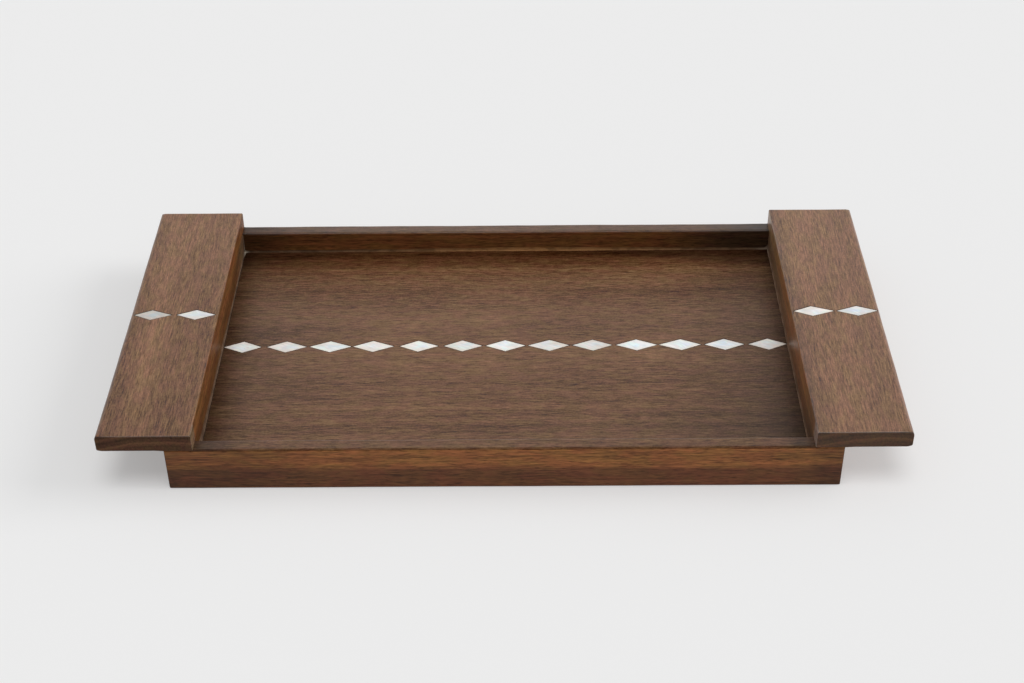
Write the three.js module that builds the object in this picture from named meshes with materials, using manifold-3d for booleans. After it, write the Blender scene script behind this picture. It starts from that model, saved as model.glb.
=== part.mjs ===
// A rectangular serving tray of dark walnut. Two long rails and two thicker end rails make a frame
// round a let-in floor panel. A flat handle board lies on each end rail and reaches out over the end,
// so that fingers fit under it. A row of mother-of-pearl diamonds runs along the middle.
// Millimetres, X along the tray, Y from front to back, Z up from the surface that it stands on.

import * as THREE from "three";
import { mergeVertices } from "three/addons/utils/BufferGeometryUtils.js";
import Module from "manifold-3d";

// Whole tray
const trayLength = 500;
const trayDepth = 250;

// Play that every let-in piece keeps to the wood round it, filled with glue
const glueGap = 0.3;

// Frame
const railHeight = 31;
const longRailThickness = 10.75;
const endRailThickness = 18;
const railEase = 1;

// Stub tenons on the end rails
const tenonThickness = 8;
const tenonLength = 6;
const tenonShoulder = 6;

// Floor panel, with a tongue all round that runs in stopped grooves
const floorSurfaceHeight = 15.25;
const floorThickness = 6;
const floorLetIn = 4;
const tongueThickness = 4;

// Handle boards
const handleThickness = 11.75;
const handleOverhang = 41;
const handleEase = 1.5;
const gripEase = 2;

// Fluted dowels between the end rails and the handle boards
const dowelsPerHandle = 3;
const dowelDiameter = 6;
const dowelLength = 18;
const dowelSpacing = 80;
const dowelChamfer = 0.75;
const fluteDepth = 0.3;
const flutesPerDowel = 10;
const dowelInHandleShare = 0.55;

// Mother-of-pearl inlay
const inlayThickness = 1.5;
const floorInlayCount = 13;
const floorInlayWidth = 12;
const floorInlayGap = 2.6;
const floorInlayMargin = 0.2;
const handleInlayCount = 2;
const handleInlayWidth = 10.75;
const handleInlayGap = 2.75;
const handleInlayMargin = 2.1;

// The diamonds are cut by hand. Each one's length is a share of the mean length of its row. The
// floor's are also set a little off their even spacing, by shares of the gap between two of them.
// From left to right:
const floorLengthShares = [0.94, 0.99, 1.05, 1.02, 0.96, 0.96, 0.99, 1.03, 0.99, 1.03, 1.05, 0.99, 0.96];
const floorShiftShares = [-0.3, -0.1, -0.1, -0.25, 0.3, 0.4, 0.1, -0.05, 0, 0.15, 0.1, 0.3, 0.2];
const leftHandleLengthShares = [0.95, 0.98];
const rightHandleLengthShares = [1.02, 1.03];

// Steps that draw each eased edge and each flute
const arcSteps = 4;
const stepsPerFlute = 4;

// How far a cut runs out past the face that it starts from
const cutOverrun = 2;

// Worked out from the sizes above
const frameLength = trayLength - 2 * handleOverhang;
const innerLength = frameLength - 2 * endRailThickness;
const innerDepth = trayDepth - 2 * longRailThickness;
const endRailCentre = (frameLength - endRailThickness) / 2;
const handleWidth = handleOverhang + endRailThickness;
const handleCentre = (trayLength - handleWidth) / 2;
const dowelInHandle = handleThickness * dowelInHandleShare;

const wasm = await Module();
wasm.setup();

const walnut = { color: 0x6b4c3a, roughness: 0.5, metalness: 0 };
const paleWalnut = { color: 0x7d6152, roughness: 0.5, metalness: 0 };
const pearl = { color: 0xe6e4de, roughness: 0.25, metalness: 0 };
const beech = { color: 0xc8a67a, roughness: 0.7, metalness: 0 };

// Extrusion runs along one of the tray's axes. The outline's own two directions become the tray's
// other two, always with its second direction up where that is possible.
const unitX = new THREE.Vector3(1, 0, 0);
const unitY = new THREE.Vector3(0, 1, 0);
const unitZ = new THREE.Vector3(0, 0, 1);
const turnedTo = {
  x: new THREE.Matrix4().makeBasis(unitY, unitZ, unitX),
  y: new THREE.Matrix4().makeBasis(unitX, unitZ, unitY.clone().negate()),
  z: new THREE.Matrix4(),
};

function extrude(outline, length, axis, options = { bevelEnabled: false }) {
  const geometry = new THREE.ExtrudeGeometry(outline, { depth: length, ...options });
  geometry.translate(0, 0, -length / 2);
  return geometry.applyMatrix4(turnedTo[axis]);
}

// A rectangle whose corners may be rounded, each by its own radius: lower left, lower right, upper
// right and upper left.
function easedOutline(left, right, bottom, top, radii) {
  const corners = [[left, bottom], [right, bottom], [right, top], [left, top]];
  const points = corners.flatMap(([x, y], corner) => {
    const radius = radii[corner];
    if (radius === 0) {
      return [new THREE.Vector2(x, y)];
    }
    const inX = x === left ? radius : -radius;
    const inY = y === bottom ? radius : -radius;
    return Array.from({ length: arcSteps + 1 }, (_, step) => {
      const angle = Math.PI * (1 + (corner + step / arcSteps) / 2);
      return new THREE.Vector2(x + inX + radius * Math.cos(angle), y + inY + radius * Math.sin(angle));
    });
  });
  return new THREE.Shape(points);
}

function box(length, depth, height, x, y, z) {
  return new THREE.BoxGeometry(length, depth, height).translate(x, y, z);
}

// A closed geometry as a solid that can be cut and joined, and back again
function solid(geometry) {
  const bare = geometry.clone();
  bare.deleteAttribute("normal");
  bare.deleteAttribute("uv");
  const merged = mergeVertices(bare);
  const vertProperties = merged.attributes.position.array;
  const triVerts = new Uint32Array(merged.index.array);
  return new wasm.Manifold(new wasm.Mesh({ numProp: 3, vertProperties, triVerts }));
}

function geometryOf(body) {
  const { vertProperties, triVerts } = body.getMesh();
  const geometry = new THREE.BufferGeometry();
  geometry.setAttribute("position", new THREE.BufferAttribute(vertProperties, 3));
  geometry.setIndex(new THREE.BufferAttribute(triVerts, 1));
  geometry.computeVertexNormals();
  return geometry;
}

function cut(body, tools) {
  return tools.reduce((rest, tool) => rest.subtract(solid(tool)), body);
}

function part(name, geometry, finish, x = 0, y = 0, z = 0) {
  const mesh = new THREE.Mesh(geometry, new THREE.MeshStandardMaterial(finish));
  mesh.name = name;
  mesh.position.set(x, y, z);
  return mesh;
}

// The frame's outer shape: upright corners and lower edges are eased, and the top is square where
// the handle boards cover it.
function frameEnvelope() {
  const [endX, endY] = [frameLength / 2, trayDepth / 2];
  const plan = easedOutline(-endX, endX, -endY, endY, [railEase, railEase, railEase, railEase]);
  const front = easedOutline(-endX, endX, 0, railHeight, [railEase, railEase, 0, 0]);
  const upright = extrude(plan, railHeight, "z").translate(0, 0, railHeight / 2);
  return solid(upright).intersect(solid(extrude(front, trayDepth, "y")));
}

// The slab that ends in the floor panel's tongue, widened by the play given. Its lower face is the
// panel's own.
function tongueSlab(play) {
  const [reachX, reachY] = [innerLength / 2 + floorLetIn + play, innerDepth / 2 + floorLetIn + play];
  const middle = floorSurfaceHeight - floorThickness + tongueThickness / 2;
  return box(2 * reachX, 2 * reachY, tongueThickness + 2 * play, 0, 0, middle);
}

// The bar that ends in an end rail's two tenons, widened by the play given
function tenonBar(side, play) {
  const length = innerDepth + 2 * (tenonLength + play);
  const height = railHeight - 2 * tenonShoulder + 2 * play;
  return box(tenonThickness + 2 * play, length, height, side * endRailCentre, 0, railHeight / 2);
}

// The front and back rails run the whole length. Their top edges are eased between the handle boards
// and square under them. The end rails' tenons and the floor panel are let into their inner faces.
function longRail(side) {
  const middle = (side * (trayDepth - longRailThickness)) / 2;
  const [near, far] = [middle - longRailThickness / 2, middle + longRailThickness / 2];
  const easedSection = easedOutline(near, far, 0, railHeight, [railEase, railEase, railEase, railEase]);
  const squareSection = easedOutline(near, far, 0, railHeight, [railEase, railEase, 0, 0]);
  const seat = extrude(squareSection, endRailThickness, "x");
  const body = solid(extrude(easedSection, frameLength, "x"))
    .add(solid(seat.clone().translate(-endRailCentre, 0, 0)))
    .add(solid(seat.clone().translate(endRailCentre, 0, 0)))
    .intersect(frameEnvelope());
  return geometryOf(cut(body, [tenonBar(-1, glueGap), tenonBar(1, glueGap), tongueSlab(glueGap)]));
}

// The end rails fit between the long ones. Their tops are square, because the handle boards lie on
// them, and hold the dowels.
function endRail(side) {
  const [near, far] = [-endRailThickness / 2, endRailThickness / 2];
  const section = easedOutline(near, far, 0, railHeight, [railEase, railEase, 0, 0]);
  const body = solid(extrude(section, innerDepth, "y").translate(side * endRailCentre, 0, 0));
  const holes = dowelPlaces().map((y) => {
    return dowelHole().translate(side * endRailCentre, y, railHeight);
  });
  return geometryOf(cut(body.add(solid(tenonBar(side, 0))), [tongueSlab(glueGap), ...holes]));
}

// Dowels stand in a row along the middle of the end rail. Each is drawn about the joint between rail
// and board, which is at zero height.
function dowelPlaces() {
  const middle = (dowelsPerHandle - 1) / 2;
  return Array.from({ length: dowelsPerHandle }, (_, index) => (index - middle) * dowelSpacing);
}

function dowel() {
  const steps = flutesPerDowel * stepsPerFlute;
  const points = Array.from({ length: steps }, (_, step) => {
    const angle = (2 * Math.PI * step) / steps;
    const flute = (fluteDepth * (1 - Math.cos(angle * flutesPerDowel))) / 2;
    const radius = dowelDiameter / 2 - flute;
    return new THREE.Vector2(Math.cos(angle), Math.sin(angle)).multiplyScalar(radius);
  });
  const chamfer = {
    bevelSegments: 1,
    bevelSize: dowelChamfer,
    bevelOffset: -dowelChamfer,
    bevelThickness: dowelChamfer,
  };
  const pin = extrude(new THREE.Shape(points), dowelLength - 2 * dowelChamfer, "z", chamfer);
  return pin.translate(0, 0, dowelInHandle - dowelLength / 2);
}

function dowelHole() {
  const radius = dowelDiameter / 2 + glueGap;
  const depth = dowelLength + 2 * glueGap;
  const hole = new THREE.CylinderGeometry(radius, radius, depth, flutesPerDowel * stepsPerFlute);
  return hole.rotateX(Math.PI / 2).translate(0, 0, dowelInHandle - dowelLength / 2);
}

// A diamond lies with its face at zero height. Its pocket follows it at the play given, and is cut
// off just past the two long points, where a knife would stop.
function diamond(length, width) {
  const [x, y] = [length / 2, width / 2];
  const outline = [[-x, 0], [0, -y], [x, 0], [0, y]].map(([px, py]) => new THREE.Vector2(px, py));
  return extrude(new THREE.Shape(outline), inlayThickness, "z").translate(0, 0, -inlayThickness / 2);
}

function diamondPocket(length, width) {
  const [x, y] = [length / 2, width / 2];
  const growth = 1 + glueGap * Math.hypot(1 / x, 1 / y);
  const endX = x + glueGap;
  const endY = y * (growth - endX / x);
  const sideY = y * growth;
  const corners = [[-endX, -endY], [0, -sideY], [endX, -endY], [endX, endY], [0, sideY], [-endX, endY]];
  const outline = corners.map(([px, py]) => new THREE.Vector2(px, py));
  const height = inlayThickness + glueGap + cutOverrun;
  return extrude(new THREE.Shape(outline), height, "z").translate(0, 0, cutOverrun - height / 2);
}

// Diamonds in a row, centred on zero, that share out the run between their two outer points. Each has
// a length and the place of its middle.
function inlayRow(run, gap, count, lengthShares, shiftShares) {
  const meanLength = (run - (count - 1) * gap) / count;
  return lengthShares.map((share, index) => ({
    length: meanLength * share,
    x: (index - (count - 1) / 2) * (meanLength + gap) + gap * shiftShares[index],
  }));
}

function inlays(row, width, stem) {
  return row.map(({ length, x }, index) => {
    return part(`${stem}_${index + 1}`, diamond(length, width), pearl, x, 0, 0);
  });
}

function pockets(row, width) {
  return row.map(({ length, x }) => diamondPocket(length, width).translate(x, 0, 0));
}

// The floor panel, drawn with its upper face at zero height. Its field fills the space between the
// rails, and the outer diamonds' pockets run out at the field's ends.
function floorAssembly() {
  const [fieldLength, fieldDepth] = [innerLength - 2 * glueGap, innerDepth - 2 * glueGap];
  const run = fieldLength - 2 * floorInlayMargin;
  const row = inlayRow(run, floorInlayGap, floorInlayCount, floorLengthShares, floorShiftShares);
  const field = box(fieldLength, fieldDepth, floorThickness, 0, 0, -floorThickness / 2);
  const slab = tongueSlab(0).translate(0, 0, -floorSurfaceHeight);
  const panel = cut(solid(slab).add(solid(field)), pockets(row, floorInlayWidth));
  const group = new THREE.Group();
  group.position.z = floorSurfaceHeight;
  group.add(part("floor_panel", geometryOf(panel), walnut));
  group.add(...inlays(row, floorInlayWidth, "floor_inlay"));
  return group;
}

// A handle board, drawn about its own middle with its underside at zero height. All its edges are
// eased but the lower ones of its seat, which lie flush with the faces of the rails.
function handleBoard(side) {
  const [endX, endY] = [handleWidth / 2, trayDepth / 2];
  const outerFirst = [gripEase, handleEase, handleEase, handleEase];
  const innerFirst = [handleEase, gripEase, handleEase, handleEase];
  const section = easedOutline(-endX, endX, 0, handleThickness, side < 0 ? outerFirst : innerFirst);
  const evenly = [handleEase, handleEase, handleEase, handleEase];
  const elevation = easedOutline(-endY, endY, 0, handleThickness, evenly);
  const plan = easedOutline(-endX, endX, -endY, endY, evenly);
  const seatCentre = (-side * (handleWidth - endRailThickness)) / 2;
  const seat = box(endRailThickness, trayDepth, handleThickness / 2, seatCentre, 0, handleThickness / 4);
  const upright = extrude(plan, handleThickness, "z").translate(0, 0, handleThickness / 2);
  return solid(extrude(section, trayDepth, "y"))
    .intersect(solid(extrude(elevation, handleWidth, "x")))
    .add(solid(seat))
    .intersect(solid(upright));
}

function handleAssembly(side, name, lengthShares) {
  const run = handleWidth - 2 * handleInlayMargin;
  const shiftShares = lengthShares.map(() => 0);
  const row = inlayRow(run, handleInlayGap, handleInlayCount, lengthShares, shiftShares);
  const face = pockets(row, handleInlayWidth).map((pocket) => pocket.translate(0, 0, handleThickness));
  const dowelX = side * (endRailCentre - handleCentre);
  const holes = dowelPlaces().map((y) => dowelHole().translate(dowelX, y, 0));
  const board = geometryOf(cut(handleBoard(side), [...face, ...holes]));
  const dowels = dowelPlaces().map((y, index) => {
    return part(`${name}_dowel_${index + 1}`, dowel(), beech, dowelX, y, 0);
  });
  const pearls = new THREE.Group();
  pearls.position.z = handleThickness;
  pearls.add(...inlays(row, handleInlayWidth, `${name}_inlay`));
  const group = new THREE.Group();
  group.position.set(side * handleCentre, 0, railHeight);
  group.add(part(name, board, paleWalnut), ...dowels, pearls);
  return group;
}

const tray = new THREE.Group();
tray.add(
  part("front_rail", longRail(-1), walnut),
  part("back_rail", longRail(1), walnut),
  part("left_end_rail", endRail(-1), walnut),
  part("right_end_rail", endRail(1), walnut),
  floorAssembly(),
  handleAssembly(-1, "left_handle", leftHandleLengthShares),
  handleAssembly(1, "right_handle", rightHandleLengthShares),
);

export default tray;
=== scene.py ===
"""Finish and stage for a dark walnut serving tray with a row of mother-of-pearl diamonds.

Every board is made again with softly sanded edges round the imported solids, keeps their joints and
pockets, and gets walnut whose grain runs the right way for it. Metres, X along the tray, Y from
front to back, Z up from the surface that the tray stands on.
"""
import math
from typing import NamedTuple

import bmesh
import bpy
import numpy as np
from mathutils import Matrix, Vector


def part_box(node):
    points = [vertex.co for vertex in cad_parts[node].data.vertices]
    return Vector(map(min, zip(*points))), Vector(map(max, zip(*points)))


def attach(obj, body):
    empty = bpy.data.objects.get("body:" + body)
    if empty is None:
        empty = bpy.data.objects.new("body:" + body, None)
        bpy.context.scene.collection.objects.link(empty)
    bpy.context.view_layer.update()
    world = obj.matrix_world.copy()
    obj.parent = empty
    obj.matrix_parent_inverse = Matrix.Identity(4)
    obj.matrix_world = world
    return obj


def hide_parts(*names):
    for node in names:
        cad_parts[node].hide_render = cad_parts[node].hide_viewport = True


bl_info = {
    "name": "Walnut tray finish",
    "version": (1, 0, 0),
    "blender": (4, 5, 0),
    "location": "3D View > Sidebar > Tray",
    "description": "Makes the sanded boards, pearl inlay and plain stage of a walnut serving tray",
    "category": "Object",
}

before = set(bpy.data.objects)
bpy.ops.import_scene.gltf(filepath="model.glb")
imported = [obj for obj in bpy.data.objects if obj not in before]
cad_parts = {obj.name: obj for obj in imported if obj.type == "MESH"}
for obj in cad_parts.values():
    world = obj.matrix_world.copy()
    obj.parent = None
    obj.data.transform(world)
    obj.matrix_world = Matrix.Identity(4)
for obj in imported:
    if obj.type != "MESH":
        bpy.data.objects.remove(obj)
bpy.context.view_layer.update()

MM = 0.001
BODY = "root"
SIDES = {"left": -1, "right": 1}


# Sizes, colours and stage that a user may change

def length(name, description, size, least, most):
    """A length for the sidebar, from its size and limits in millimetres."""
    return bpy.props.FloatProperty(
        name=name, description=description, default=size * MM, min=least * MM, max=most * MM,
        unit="LENGTH", precision=5)


def colour(name, description, default, most=1):
    return bpy.props.FloatVectorProperty(
        name=name, description=description, default=default, min=0, max=most, size=3,
        subtype="COLOR")


def angle(name, description, degrees):
    return bpy.props.FloatProperty(
        name=name, description=description, default=math.radians(degrees), subtype="ANGLE")


def level_light(name, source, default):
    return bpy.props.FloatProperty(
        name=name, description=f"Light on a level face from {source}", default=default,
        min=0, max=2)


class TraySizes(bpy.types.PropertyGroup):
    handle_ease: length("Handle ease", "Radius on the edges of the handle boards", 1.5, 0.3, 3)
    grip_ease: length("Grip ease", "Radius on the outer edge, where the fingers close", 3, 0.3, 4)
    corner_ease: length("Corner ease", "Radius on the handles' upright corners", 0.6, 0.2, 3)
    under_ease: length("Under ease", "Radius on the lower edges at the handles' ends", 0.6, 0.2, 3)
    rail_ease: length("Rail ease", "Radius on the edges of the rails", 1, 0.2, 3)
    lip_ease: length("Lip ease", "Radius on the rails' upper edges between handles", 2.1, 0.2, 4)
    floor_ease: length("Floor ease", "Radius on the upper edge of the floor board", 0.25, 0.05, 1)
    unevenness: bpy.props.FloatProperty(
        name="Unevenness", description="How much a hand-sanded radius wanders along its edge",
        default=0.16, min=0, max=0.5, subtype="FACTOR")
    glue_gap: length("Glue gap", "Play round every let-in piece", 0.3, 0.05, 1)
    tongue: length("Tongue", "Thickness of the tongue round the floor board", 4, 1, 6)
    let_in: length("Let in", "How deep the tongue runs into the rails", 4, 1, 8)
    tenon: length("Tenon", "Thickness of the stub tenons on the end rails", 8, 2, 14)
    tenon_shoulder: length("Tenon shoulder", "Wood above and below each tenon", 6, 1, 12)
    glue_line: length("Glue line", "Width of the dark glue line round each diamond", 0.53, 0.1, 0.6)
    pearl_ease: length("Pearl ease", "Radius on the edge of a pearl diamond", 0.18, 0.02, 0.5)
    glue_depth: length("Glue depth", "How far the glue lies below the wood", 0.12, 0.01, 0.5)
    bead: length("Bead", "How high the dried bead climbs at the back rail", 1.3, 0.4, 3)


class TrayColours(bpy.types.PropertyGroup):
    # Painted light: faces that look up get a duller, greyer brown than the sides, for how light
    # falls on and reflects from each kind of face
    top_wood: colour("Faded wood", "Walnut on faces that look up", (0.18, 0.084, 0.036))
    side_wood: colour("Amber wood", "Walnut on the sides, less faded", (0.27, 0.108, 0.036))
    golden_cloud: colour("Golden cloud", "Tint of golden clouds in walnut", (0.99, 1.05, 0.93), 2)
    russet_cloud: colour("Russet cloud", "Tint of russet clouds in walnut", (1.03, 0.92, 0.95), 2)
    pearl: colour("Pearl", "Ground colour of the mother-of-pearl", (0.8, 0.81, 0.8))
    glue: colour("Glue", "Dark glue in the line round each diamond", (0.02, 0.013, 0.009))
    bead: colour("Bead", "Dried glue and finish round the floor", (0.16, 0.098, 0.064))
    beech: colour("Beech", "Bare wood of the dowels", (0.58, 0.4, 0.22))
    backdrop: colour("Backdrop", "Pale floor and background", (0.83, 0.83, 0.83))


class TrayStage(bpy.types.PropertyGroup):
    lens: bpy.props.FloatProperty(
        name="Lens", description="Focal length of the camera on a 36 mm sensor, in millimetres",
        default=59.31, min=20, max=200)
    camera_place: bpy.props.FloatVectorProperty(
        name="Camera place", description="Where the camera stands",
        default=(0.01163, -0.90677, 0.70956), size=3, subtype="TRANSLATION", unit="LENGTH",
        precision=5)
    pitch: angle("Pitch", "How far the camera looks down", 37.305)
    yaw: angle("Yaw", "How far the camera turns towards +X", -0.438)
    roll: angle("Roll", "How far the camera leans, clockwise in the picture", 0.613)
    dome: level_light("Dome", "all round", 0.40)
    softbox: level_light("Softbox", "the overhead softbox", 0.36)
    window: level_light("Window", "the window at the right", 0.20)
    paper_glow: bpy.props.FloatVectorProperty(
        name="Paper glow", default=(0.31, 1.115), min=0, max=2, size=2,
        description="Share of the pale floor that the camera sees evenly lit, and how brightly")
    floor_reach: length("Floor reach", "Half the width of the pale floor", 12000, 2000, 50000)


# Shader graphs

def operator(operation, reflected=False):
    """A method that makes the node for one operator of Signal, or for its reflected form."""
    def method(self, other):
        pair = (other, self) if reflected else (self, other)
        wide = any(v.socket.type in {"VECTOR", "RGBA"} if isinstance(v, Signal)
                   else isinstance(v, tuple) for v in pair)
        kind = "ShaderNodeVectorMath" if wide else "ShaderNodeMath"
        values = [(v, v, v) if wide and isinstance(v, (int, float)) else v for v in pair]
        return self.graph.node(kind, {"operation": operation}, dict(enumerate(values)))
    return method


class Signal:
    """A socket of a shader graph. Sums on value sockets add Math nodes, and sums with a vector or a
    colour in them add Vector Math nodes."""
    __add__, __radd__ = operator("ADD"), operator("ADD", True)
    __sub__, __rsub__ = operator("SUBTRACT"), operator("SUBTRACT", True)
    __mul__, __rmul__ = operator("MULTIPLY"), operator("MULTIPLY", True)
    __truediv__, __pow__ = operator("DIVIDE"), operator("POWER")
    maximum, minimum = operator("MAXIMUM"), operator("MINIMUM")

    def __init__(self, graph, socket):
        self.graph = graph
        self.socket = socket

    def out(self, name):
        """Another output of the same node."""
        return Signal(self.graph, self.socket.node.outputs[name])


class Graph:
    """The node tree of a material or world, built up from an empty one."""

    def __init__(self, owner):
        self.owner = owner
        owner.use_nodes = True
        self.tree = owner.node_tree
        self.tree.nodes.clear()

    def node(self, kind, settings=None, sockets=None, output=0):
        """Adds a node: first its settings, then each socket's value or link, by name or number."""
        made = self.tree.nodes.new(kind)
        for name, value in (settings or {}).items():
            if name == "stops":
                self._set_stops(made.color_ramp, value)
            else:
                setattr(made, name, value)
        for key, value in (sockets or {}).items():
            if isinstance(value, Signal):
                self.tree.links.new(value.socket, made.inputs[key])
            elif isinstance(value, (tuple, list)) and made.inputs[key].type == "RGBA":
                made.inputs[key].default_value = (*value[:3], 1)
            else:
                made.inputs[key].default_value = value
        return Signal(self, made.outputs[output]) if len(made.outputs) else None

    @staticmethod
    def _set_stops(ramp, stops):
        while len(ramp.elements) < len(stops):
            ramp.elements.new(1)
        for element, (place, tone) in zip(ramp.elements, stops):
            element.position = place
            element.color = (*tone, 1)

    def blend(self, share, first, second):
        """first where share is 0 and second where it is 1, as colours."""
        sockets = {0: share, 6: first, 7: second}
        return self.node("ShaderNodeMix", {"data_type": "RGBA"}, sockets, output=2)

    def ramp(self, value, low, high):
        """0 below low and 1 above high, with a smooth step between them."""
        settings = {"interpolation_type": "SMOOTHSTEP"}
        return self.node("ShaderNodeMapRange", settings, {0: value, 1: low, 2: high})

    def dot(self, first, second):
        settings = {"operation": "DOT_PRODUCT"}
        return self.node("ShaderNodeVectorMath", settings, {0: first, 1: second}, output="Value")

    def size(self, vector):
        """The vector with its minus signs dropped."""
        return self.node("ShaderNodeVectorMath", {"operation": "ABSOLUTE"}, {0: vector})

    def parts(self, vector):
        """The X, Y and Z of a vector."""
        split = self.node("ShaderNodeSeparateXYZ", {}, {0: vector})
        return [split.out(axis) for axis in "XYZ"]

    def attribute(self, name, output="Fac"):
        return self.node("ShaderNodeAttribute", {"attribute_name": name}).out(output)

    def place(self, vector, scale=(1, 1, 1), turn=(0, 0, 0), move=(0, 0, 0)):
        sockets = {"Vector": vector, "Location": move, "Rotation": turn, "Scale": scale}
        return self.node("ShaderNodeMapping", {}, sockets)

    def noise(self, vector, size, detail=2.0, roughness=0.5):
        """Noise about 0.5 whose blots have the given size along each axis, in metres."""
        spread = self.place(vector, scale=tuple(1 / s for s in size))
        sockets = {"Vector": spread, "Scale": 1.0, "Detail": detail, "Roughness": roughness}
        return self.node("ShaderNodeTexNoise", {}, sockets)

    def finish(self, shader, target="ShaderNodeOutputMaterial"):
        self.node(target, {}, {"Surface": shader})

    def surface(self, body, roughness, relief, strength, distance, others):
        """The finished material: its colour, its roughness, the bump of a relief, and others."""
        bump = self.node("ShaderNodeBump", {}, {
            "Height": relief, "Strength": strength, "Distance": distance})
        self.finish(self.node("ShaderNodeBsdfPrincipled", {}, {
            "Base Color": body, "Roughness": roughness, "Normal": bump, **others}))
        return self.owner


def new_graph(name):
    return Graph(bpy.data.materials.new(name))


def shade(name, by=1.0):
    """One of the tray's colours, lighter or darker by a factor."""
    return tuple(by * c for c in getattr(bpy.context.scene.tray_colours, name))


# The walnut of each board

X, Y, Z = (1, 0, 0), (0, 1, 0), (0, 0, 1)
LOOKING = {"front": (0, -1, 0), "left": (-1, 0, 0), "right": (1, 0, 0)}


class ShadeAndDirt(NamedTuple):
    """Painted shade, painted light and sheen, and old polish and dirt on a board. Along a direction
    it grows from nothing at start to its whole amount at full, in millimetres. It lies on the faces
    that look up, on the end grain, on the face that looks to the front, the left or the right, or on
    all. dry is how much of the wax is gone there, which stands for reflections that nearby parts
    hide where it marks shade, and tint what is left of the wood's colour, above 1 where it paints
    light."""
    direction: tuple
    start: float
    full: float
    amount: float
    faces: str = "all"
    dry: float = 0.0
    tint: tuple = (0.2, 0.21, 0.24)


# Painted shade on the rails' rounded upper edges: darker, and without the wax's sheen, where they
# turn from the top down to the side
SHADED_LIP = {"dry": 0.9, "tint": (0.5, 0.42, 0.36)}
BROWN_FRONT = ShadeAndDirt(Y, -70, -100, 0.4, "left", tint=(0.22, 0.5, 0.78))
# Painted shade: the handles' tops darker towards their front ends, where they reflect less of the
# bright light
SHADED_TOP_FRONT = ShadeAndDirt(Y, 60, -125, 0.1, "up")

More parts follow.
